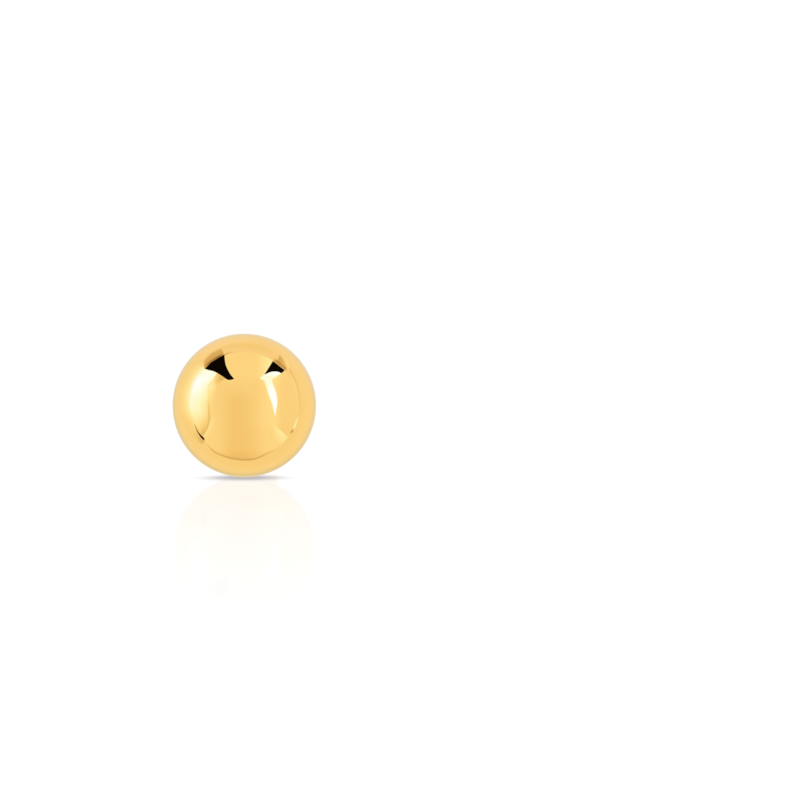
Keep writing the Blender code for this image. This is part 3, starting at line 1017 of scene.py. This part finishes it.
def hang_right_lights(material):
    """The flare low on the right, and the small streak by the seam with its dark mark."""
    hang_band("low_right_flare", 4, material, [
        [(0.385, -0.232, 0.45, 0.6), (0.470, -0.312, 0.62, 1.0), (0.545, -0.385, 0.66, 1.0),
         (0.605, -0.442, 0.60, 1.0)],
        [(0.370, -0.260, 0.40, 0.5), (0.430, -0.345, 0.54, 0.9), (0.495, -0.430, 0.60, 1.0),
         (0.555, -0.500, 0.56, 1.0)],
        [(0.350, -0.300, 0.30, 0.2), (0.395, -0.385, 0.38, 0.5), (0.450, -0.475, 0.46, 0.8),
         (0.510, -0.550, 0.46, 0.8)],
        [(0.320, -0.330, 0.25, 0.0), (0.340, -0.420, 0.25, 0.0), (0.385, -0.515, 0.24, 0.0),
         (0.450, -0.590, 0.24, 0.0)],
    ])
    hang_line("right_streak", 2, material, 0.022, [
        (0.742, -0.150, 0.5, 0.1), (0.728, -0.211, 0.70, 0.9), (0.708, -0.272, 0.75, 1.0),
        (0.683, -0.325, 0.72, 0.8)])
    hang_line("right_mark", 2, material, 0.022, [
        (0.678, -0.340, -0.45, 0.8), (0.660, -0.366, -0.5, 1.0), (0.640, -0.390, -0.3, 0.5)])


def hang_seams(material):
    """The seam between the tent's front and its back, plainest along the bottom."""
    hang_line("ring_seam", 7, material, 0.022, [
        (-0.552, -0.506, 0.0, 0.0), (-0.518, -0.550, -0.10, 0.5), (-0.472, -0.597, -0.20, 0.8),
        (-0.391, -0.663, -0.26, 1.0), (-0.232, -0.722, -0.30, 1.0), (-0.111, -0.747, -0.32, 1.0),
        (0.000, -0.759, -0.34, 1.0), (0.121, -0.750, -0.32, 1.0), (0.212, -0.720, -0.28, 0.9),
        (0.288, -0.684, -0.25, 0.8), (0.392, -0.634, -0.15, 0.6), (0.476, -0.585, 0.0, 0.3)])
    hang_line("right_seam", 7, material, 0.020, [
        (0.592, 0.562, -0.1, 0.3), (0.628, 0.502, -0.12, 0.8), (0.687, 0.391, -0.08, 0.8),
        (0.730, 0.289, -0.05, 0.8), (0.760, 0.150, -0.02, 0.7), (0.769, 0.003, 0.0, 0.7),
        (0.763, -0.120, 0.05, 0.5)])
    hang_line("right_seam_light", 6, material, 0.020, [
        (0.600, 0.500, 0.35, 0.3), (0.662, 0.380, 0.40, 0.5), (0.703, 0.275, 0.40, 0.6),
        (0.733, 0.150, 0.38, 0.6), (0.742, 0.003, 0.36, 0.5), (0.740, -0.100, 0.42, 0.5)])


def hang_studio():
    """The tent, then every card in it."""
    material = studio_material()
    make_tent(material)
    hang_left_softbox(material)
    hang_softbox_spill(material)
    hang_low_slit(material)
    hang_left_gap(material)
    hang_right_gap(material)
    hang_top_band(material)
    hang_right_strip(material)
    hang_right_lights(material)
    hang_seams(material)


# The floor and the white around it

FLOOR_RADIUS = 3.0
FLOOR_SIDES = 96
WHITE_LEVEL = 1.04
SHADOW = (0.49, 0.455, 0.465, 1.0)
SHADOW_REACH = 0.02
SHADOW_LEAN = math.radians(25.0)
SHADOW_SAMPLES = 16
OPEN_SKY_SPAN = (0.03, 0.55)
FLOOR_ROUGHNESS = 0.06
MIRROR_FADE = (0.0, 0.107)
MIRROR_GRAZING = (0.80, 0.95)
MIRROR_SHARE = (0.02, 0.285)
BEHIND_BALL = (-0.006, -0.003)
SHARE_BEHIND = (1.0, 0.25)


def make_floor():
    """A sheet of white acrylic that glows evenly, shaded only where the earring stands."""
    bm = bmesh.new()
    bmesh.ops.create_circle(bm, cap_ends=True, segments=FLOOR_SIDES, radius=FLOOR_RADIUS)
    floor = mesh_object("acrylic_floor", bm, white_acrylic())
    floor.visible_glossy = False
    floor.location.z = min(cad_box[0].z, 0.0)


def white_acrylic():
    """An even white glow, a soft contact shade and a faint mirror image at grazing views."""
    material = bpy.data.materials.new("white_acrylic")
    material.use_nodes = True
    material.cycles.emission_sampling = "NONE"
    tree = material.node_tree
    tree.nodes.remove(tree.nodes["Principled BSDF"])

    open_sky = node_of(tree, "AmbientOcclusion", samples=SHADOW_SAMPLES)
    open_sky.inputs["Distance"].default_value = SHADOW_REACH
    lean = node_of(tree, "CombineXYZ")
    lean.inputs["Y"].default_value = math.sin(SHADOW_LEAN)
    lean.inputs["Z"].default_value = math.cos(SHADOW_LEAN)
    tree.links.new(lean.outputs["Vector"], open_sky.inputs["Normal"])
    lit = ranged(tree, open_sky.outputs["AO"], OPEN_SKY_SPAN, WHOLE, "SMOOTHSTEP")
    colour = node_of(tree, "Mix", data_type="RGBA")
    colour.inputs["A"].default_value = SHADOW
    colour.inputs["B"].default_value = WHITE
    tree.links.new(lit, colour.inputs["Factor"])
    glow = node_of(tree, "Emission")
    glow.inputs["Strength"].default_value = WHITE_LEVEL
    tree.links.new(colour.outputs["Result"], glow.inputs["Color"])

    gloss = node_of(tree, "BsdfAnisotropic")
    gloss.inputs["Color"].default_value = WHITE
    gloss.inputs["Roughness"].default_value = FLOOR_ROUGHNESS
    where = node_of(tree, "TexCoord").outputs["Object"]
    far = node_of(tree, "VectorMath", operation="LENGTH")
    tree.links.new(where, far.inputs[0])
    near = ranged(tree, far.outputs["Value"], MIRROR_FADE, (1.0, 0.0))
    facing = node_of(tree, "LayerWeight").outputs["Facing"]
    grazing = ranged(tree, facing, MIRROR_GRAZING, MIRROR_SHARE)
    apart = node_of(tree, "SeparateXYZ")
    tree.links.new(where, apart.inputs["Vector"])
    front = ranged(tree, apart.outputs["Y"], BEHIND_BALL, SHARE_BEHIND, "SMOOTHSTEP")
    share = near
    for factor in (grazing, lit, lit, front):
        share = combined(tree, share, factor, "MULTIPLY")
    blend = node_of(tree, "MixShader")
    tree.links.new(share, blend.inputs["Fac"])
    tree.links.new(glow.outputs["Emission"], blend.inputs[1])
    tree.links.new(gloss.outputs["BSDF"], blend.inputs[2])
    tree.links.new(blend.outputs["Shader"], tree.nodes["Material Output"].inputs["Surface"])
    return material


def make_white_world():
    """White all round, the floor's own white."""
    world = bpy.data.worlds.new("white")
    world.use_nodes = True
    sky = world.node_tree.nodes["Background"]
    sky.inputs["Color"].default_value = WHITE
    sky.inputs["Strength"].default_value = WHITE_LEVEL
    bpy.context.scene.world = world
    bpy.context.scene.view_settings.view_transform = "Standard"


make_ball_on_post(polished_gold("ball_gold", (0.02, 0.035), 0.01, 0.00003 * MM))
make_butterfly_back(polished_gold("clutch_gold", (0.10, 0.16), 0.05, 0.0006 * MM))
make_camera()
hang_studio()
make_floor()
make_white_world()
